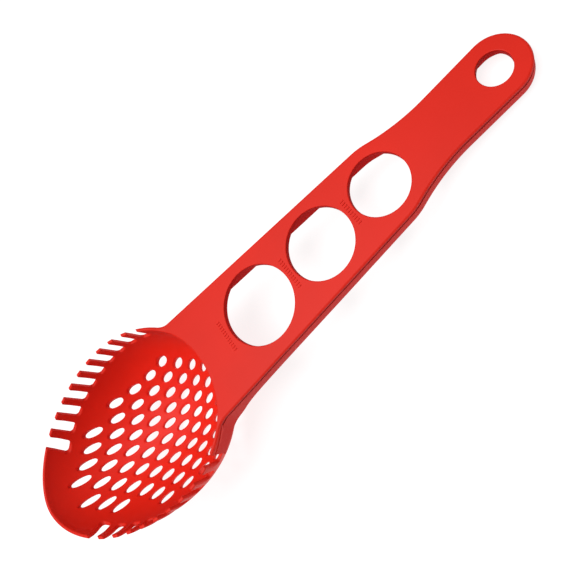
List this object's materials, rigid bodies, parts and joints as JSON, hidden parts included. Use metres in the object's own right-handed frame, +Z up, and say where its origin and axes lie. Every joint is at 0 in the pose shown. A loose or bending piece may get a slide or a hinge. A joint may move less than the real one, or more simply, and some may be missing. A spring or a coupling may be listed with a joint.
{
  "type": "pasta spoon",
  "caption": "Deep perforated scoop with slotted side rims on a flat handle that carries graded spaghetti-measuring holes and a hanging hole.",
  "frame": {"origin": "on the plane the spoon rests on, below the centre of its bounding box", "axes": "+X along the handle from the bowl to the hanging hole, +Y to the left, +Z up; the spoon lies on its back, so the handle's flat face is tilted 8.1 degrees about Y"},
  "size_m": [0.2982, 0.087, 0.0559],
  "materials": {
    "bowl_plastic": "smooth glossy red moulded nylon, polished inside",
    "handle_plastic": "finely spark-textured satin red moulded nylon"
  },
  "bodies": {
    "root": {"bowl": "bowl_plastic", "left_teeth": "bowl_plastic", "right_teeth": "bowl_plastic", "handle": "handle_plastic"}
  },
  "joints": []
}
